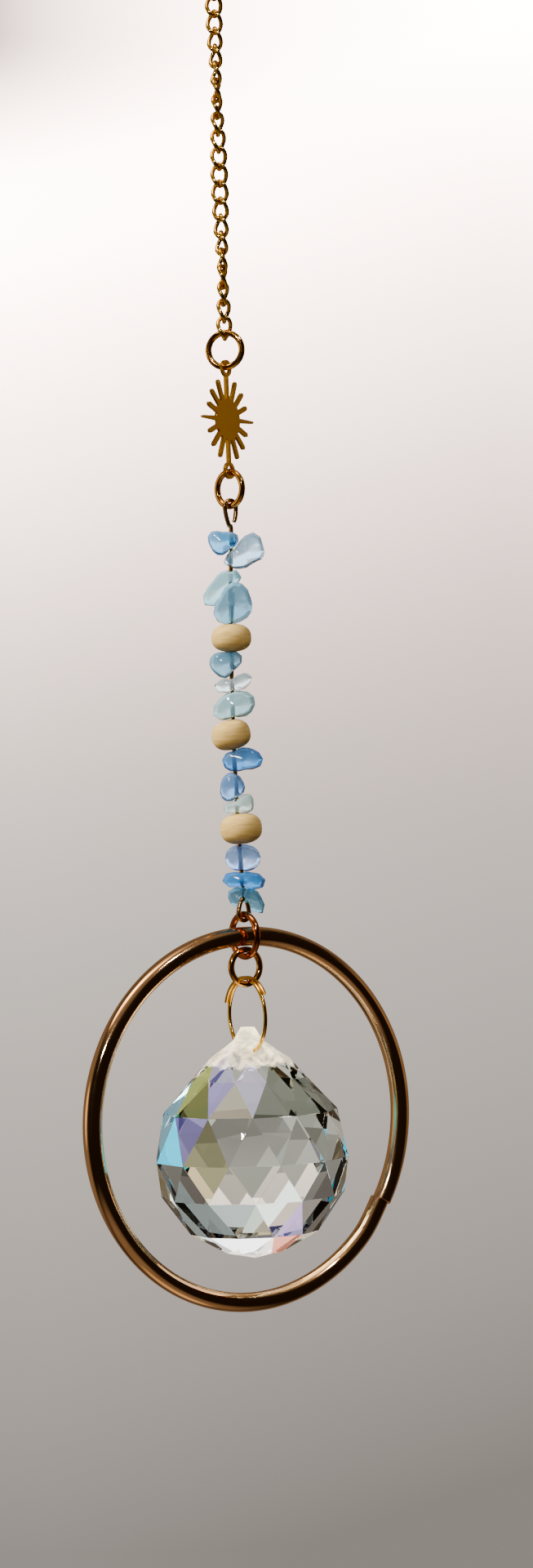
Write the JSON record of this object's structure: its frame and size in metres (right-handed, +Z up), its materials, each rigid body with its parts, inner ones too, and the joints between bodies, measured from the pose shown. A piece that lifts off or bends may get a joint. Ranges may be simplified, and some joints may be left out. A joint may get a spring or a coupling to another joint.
{
  "type": "suncatcher",
  "caption": "Hanging suncatcher: fine chain, small sun charm, a pin threaded with stone chips and wooden beads, and a gilt hoop around a faceted crystal ball.",
  "frame": {"origin": "where the top of the hanging ring rests on its hook: the inner top of the ring", "axes": "+Z up along the hanging line; the hoop stands in the XZ plane with its seam at the lower +X side; the front faces -Y"},
  "size_m": [0.06, 0.0298, 0.2191],
  "materials": {
    "chain_gold": "polished",
    "ring_gold": "polished",
    "copper_gold": "polished",
    "pin_brass": "polished",
    "sun_brass": "satin",
    "hoop_gold": "polished",
    "crystal": "clear, with an iridescent coating",
    "bead_wood": "bare, sanded",
    "chip_sky_blue": "tumbled, glossy",
    "chip_clear_blue": "tumbled, glossy",
    "chip_pale_aqua": "tumbled, glossy",
    "chip_blue_grey": "tumbled, glossy",
    "chip_teal_heart": "tumbled, glossy",
    "chip_clear_wing": "tumbled, glossy",
    "chip_grey_teal": "tumbled, glossy",
    "chip_deep_blue": "tumbled, glossy",
    "chip_blue_drop": "tumbled, glossy",
    "chip_pale_crescent": "tumbled, glossy",
    "chip_lavender_blue": "tumbled, glossy",
    "chip_deep_blue_disc": "tumbled, glossy",
    "chip_teal_saddle": "tumbled, glossy"
  },
  "bodies": {
    "root": {"bead_01_wood": "bead_wood", "bead_02_wood": "bead_wood", "bead_03_wood": "bead_wood", "chain_link_01": "chain_gold", "chain_link_02": "chain_gold", "chain_link_03": "chain_gold", "chain_link_04": "chain_gold", "chain_link_05": "chain_gold", "chain_link_06": "chain_gold", "chain_link_07": "chain_gold", "chain_link_08": "chain_gold", "chain_link_09": "chain_gold", "chain_link_10": "chain_gold", "chain_link_11": "chain_gold", "chain_link_12": "chain_gold", "chain_link_13": "chain_gold", "chain_link_14": "chain_gold", "chain_link_15": "chain_gold", "chain_link_16": "chain_gold", "chain_link_17": "chain_gold", "chain_link_18": "chain_gold", "chain_link_19": "chain_gold", "chain_link_20": "chain_gold", "chain_link_21": "chain_gold", "chip_01_sky_blue": "chip_sky_blue", "chip_02_clear_blue": "chip_clear_blue", "chip_03_pale_aqua": "chip_pale_aqua", "chip_04_blue_grey": "chip_blue_grey", "chip_05_teal_heart": "chip_teal_heart", "chip_06_clear_wing": "chip_clear_wing", "chip_07_grey_teal": "chip_grey_teal", "chip_08_deep_blue": "chip_deep_blue", "chip_09_blue_drop": "chip_blue_drop", "chip_10_pale_crescent": "chip_pale_crescent", "chip_11_lavender_blue": "chip_lavender_blue", "chip_12_deep_blue_disc": "chip_deep_blue_disc", "chip_13_teal_saddle": "chip_teal_saddle", "crystal_ball": "crystal", "crystal_ring": "chain_gold", "eye_pin": "pin_brass", "hanging_ring": "chain_gold", "hoop": "hoop_gold", "jump_ring_hoop": "copper_gold", "jump_ring_lower": "ring_gold", "jump_ring_middle": "ring_gold", "jump_ring_upper": "ring_gold", "sun_charm": "sun_brass"}
  },
  "joints": []
}
